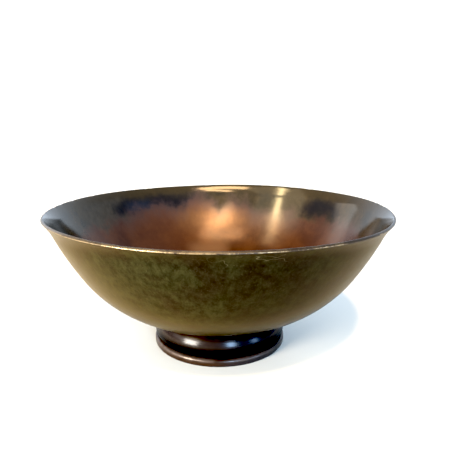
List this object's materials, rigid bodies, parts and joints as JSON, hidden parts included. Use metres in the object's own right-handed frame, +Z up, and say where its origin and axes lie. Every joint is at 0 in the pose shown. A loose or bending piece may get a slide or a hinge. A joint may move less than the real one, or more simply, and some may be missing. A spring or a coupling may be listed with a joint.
{
  "type": "footed bowl",
  "caption": "Wide footed bowl of patinated copper sheet, soldered to a dark hollow cushion foot on a base ring.",
  "frame": {"origin": "centre of the base ring's underside, on the table plane", "axes": "+Z up along the bowl's axis of revolution; -Y faces the viewer of the front view"},
  "size_m": [0.25, 0.25, 0.1043],
  "materials": {
    "patinated_copper": "satin, mottled olive and brown patina outside, copper-red heat patina inside, bare pale rim",
    "blackened_foot": "glossy near-black brown",
    "browned_base": "glossy dark red-brown, worn on the upper edge",
    "solder": "dull, darkened"
  },
  "bodies": {
    "root": {"bowl_shell": "patinated_copper", "foot_solder": "solder", "foot_ring": "blackened_foot", "base_solder": "solder", "base_ring": "browned_base"}
  },
  "joints": []
}
